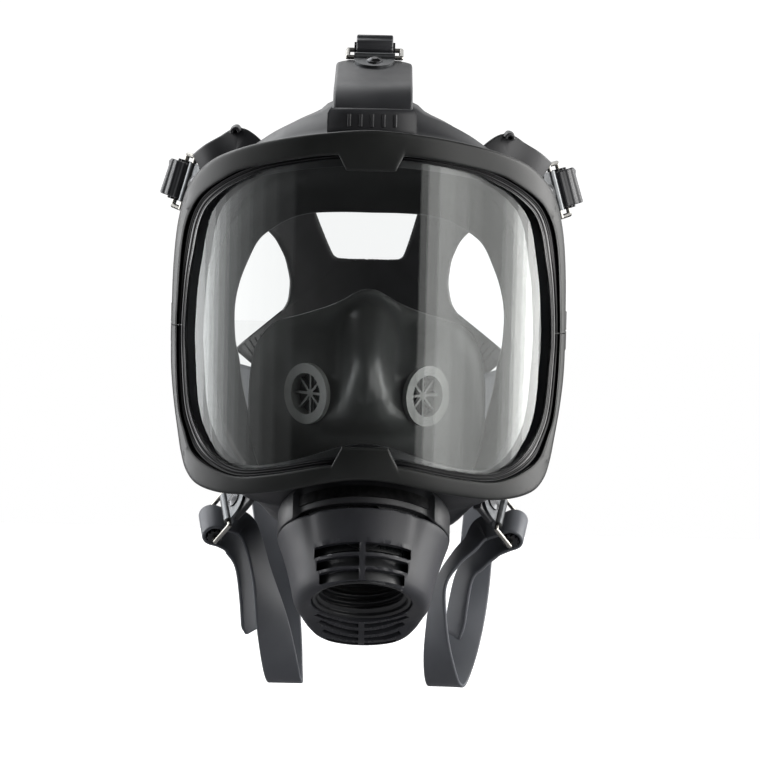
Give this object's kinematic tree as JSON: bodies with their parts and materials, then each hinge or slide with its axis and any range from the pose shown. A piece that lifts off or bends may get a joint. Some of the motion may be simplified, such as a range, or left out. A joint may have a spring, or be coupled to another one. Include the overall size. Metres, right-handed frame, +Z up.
{
  "type": "full face respirator",
  "caption": "Full face respirator with a wide curved clear lens, inner nose cup, threaded filter port and a buckled head harness.",
  "frame": {"origin": "middle of the face opening, on the upright axis of the lens cylinder", "axes": "+Z up, the lens faces -Y, +Y goes into the wearer's face, +X to the wearer's left"},
  "size_m": [0.1994, 0.2228, 0.3118],
  "materials": {
    "lens_clear": "polished clear polycarbonate",
    "seal_rubber": "gloss black",
    "frame_plastic": "fine satin grain",
    "plated_steel": "nickel plated",
    "clamp_steel": "black coated",
    "nut_brass": "satin",
    "blank_rubber": "matte moulded rubber",
    "cup_rubber": "smooth satin rubber",
    "valve_plastic": "satin",
    "flap_silicone": "thin silicone",
    "cover_plastic": "fine matte texture",
    "port_plastic": "satin",
    "insert_plastic": "satin",
    "gasket_rubber": "satin",
    "diaphragm_film": "thin film",
    "clip_metal": "satin grey plated",
    "roller_plastic": "ribbed",
    "strap_rubber": "matte moulded rubber"
  },
  "bodies": {
    "root": {"buckle_rivets": "plated_steel", "exhalation_valve_seat": "valve_plastic", "faceblank": "blank_rubber", "frame_lower": "frame_plastic", "frame_nuts": "nut_brass", "frame_screws": "plated_steel", "frame_upper": "frame_plastic", "front_cover": "cover_plastic", "head_pad": "blank_rubber", "inhalation_valve_seat": "valve_plastic", "inlet_gasket": "gasket_rubber", "inlet_thread_insert": "insert_plastic", "lens_seal": "seal_rubber", "neck_left_clip_plate": "clip_metal", "neck_right_clip_plate": "clip_metal", "neck_strap_left": "strap_rubber", "neck_strap_right": "strap_rubber", "neck_strap_tail_left": "strap_rubber", "neck_strap_tail_right": "strap_rubber", "nose_cup": "cup_rubber", "nose_cup_valve_seat_left": "valve_plastic", "nose_cup_valve_seat_right": "valve_plastic", "port_body": "port_plastic", "port_clamp_band": "clamp_steel", "port_clamp_screw": "plated_steel", "speech_diaphragm": "diaphragm_film", "speech_diaphragm_o_ring": "gasket_rubber", "speech_diaphragm_ring": "insert_plastic", "temple_left_clip_plate": "clip_metal", "temple_right_clip_plate": "clip_metal", "temple_strap_left": "strap_rubber", "temple_strap_right": "strap_rubber", "top_clip_plate": "clip_metal", "top_strap": "strap_rubber", "visor_lens": "lens_clear"},
    "top_bail": {"top_wire_bail": "plated_steel", "top_strap_wrap": "strap_rubber"},
    "top_roller": {"top_strap_roller": "roller_plastic"},
    "temple_left_bail": {"temple_left_wire_bail": "plated_steel", "temple_left_strap_wrap": "strap_rubber"},
    "temple_left_roller": {"temple_left_strap_roller": "roller_plastic"},
    "temple_right_bail": {"temple_right_wire_bail": "plated_steel", "temple_right_strap_wrap": "strap_rubber"},
    "temple_right_roller": {"temple_right_strap_roller": "roller_plastic"},
    "neck_left_bail": {"neck_left_wire_bail": "plated_steel", "neck_left_strap_wrap": "strap_rubber"},
    "neck_left_roller": {"neck_left_strap_roller": "roller_plastic"},
    "neck_right_bail": {"neck_right_wire_bail": "plated_steel", "neck_right_strap_wrap": "strap_rubber"},
    "neck_right_roller": {"neck_right_strap_roller": "roller_plastic"},
    "nose_cup_valve_disc_left_flap": {"nose_cup_valve_disc_left": "flap_silicone"},
    "nose_cup_valve_disc_right_flap": {"nose_cup_valve_disc_right": "flap_silicone"},
    "inhalation_valve_disc_flap": {"inhalation_valve_disc": "flap_silicone"},
    "exhalation_valve_disc_flap": {"exhalation_valve_disc": "flap_silicone"}
  },
  "joints": [
    {"name": "top_bail_swing", "type": "hinge", "parent": "root", "child": "top_bail", "pos_m": [0, -0.028, 0.124], "axis": [1, 0, 0], "range_deg": [-20, 20]},
    {"name": "top_roller_spin", "type": "hinge", "parent": "top_bail", "child": "top_roller", "pos_m": [0, -0.01777, 0.12804], "axis": [1, 0, 0], "continuous": true},
    {"name": "temple_left_bail_swing", "type": "hinge", "parent": "root", "child": "temple_left_bail", "pos_m": [-0.0848, -0.03, 0.0645], "axis": [0.2733, -0.0007, 0.9619], "range_deg": [-20, 20]},
    {"name": "temple_left_roller_spin", "type": "hinge", "parent": "temple_left_bail", "child": "temple_left_roller", "pos_m": [-0.08942, -0.0201, 0.06582], "axis": [0.2733, -0.0007, 0.9619], "continuous": true},
    {"name": "temple_right_bail_swing", "type": "hinge", "parent": "root", "child": "temple_right_bail", "pos_m": [0.0848, -0.03, 0.0645], "axis": [0.2733, 0.0007, -0.9619], "range_deg": [-20, 20]},
    {"name": "temple_right_roller_spin", "type": "hinge", "parent": "temple_right_bail", "child": "temple_right_roller", "pos_m": [0.08942, -0.0201, 0.06582], "axis": [0.2733, 0.0007, -0.9619], "continuous": true},
    {"name": "neck_left_bail_swing", "type": "hinge", "parent": "root", "child": "neck_left_bail", "pos_m": [-0.0645, -0.033, -0.087], "axis": [-0.1803, 0.852, 0.4916], "range_deg": [-20, 20]},
    {"name": "neck_left_roller_spin", "type": "hinge", "parent": "neck_left_bail", "child": "neck_left_roller", "pos_m": [-0.07111, -0.0297, -0.09515], "axis": [-0.1803, 0.852, 0.4916], "continuous": true},
    {"name": "neck_right_bail_swing", "type": "hinge", "parent": "root", "child": "neck_right_bail", "pos_m": [0.0635, -0.033, -0.086], "axis": [-0.1803, -0.852, -0.4916], "range_deg": [-20, 20]},
    {"name": "neck_right_roller_spin", "type": "hinge", "parent": "neck_right_bail", "child": "neck_right_roller", "pos_m": [0.07011, -0.0297, -0.09415], "axis": [-0.1803, -0.852, -0.4916], "continuous": true},
    {"name": "nose_cup_valve_disc_left_lift", "type": "slide", "parent": "root", "child": "nose_cup_valve_disc_left_flap", "axis": [0.6947, 0.7193, 0], "range_m": [0, 0.0015], "stiffness_N_per_m": 20, "springref_m": -0.0005},
    {"name": "nose_cup_valve_disc_right_lift", "type": "slide", "parent": "root", "child": "nose_cup_valve_disc_right_flap", "axis": [-0.6947, 0.7193, 0], "range_m": [0, 0.0015], "stiffness_N_per_m": 20, "springref_m": -0.0005},
    {"name": "inhalation_valve_disc_lift", "type": "slide", "parent": "root", "child": "inhalation_valve_disc_flap", "axis": [0, 0.5299, 0.848], "range_m": [0, 0.0015], "stiffness_N_per_m": 20, "springref_m": -0.0005},
    {"name": "exhalation_valve_disc_lift", "type": "slide", "parent": "root", "child": "exhalation_valve_disc_flap", "axis": [0, -0.5299, -0.848], "range_m": [0, 0.0015], "stiffness_N_per_m": 20, "springref_m": -0.0005}
  ]
}
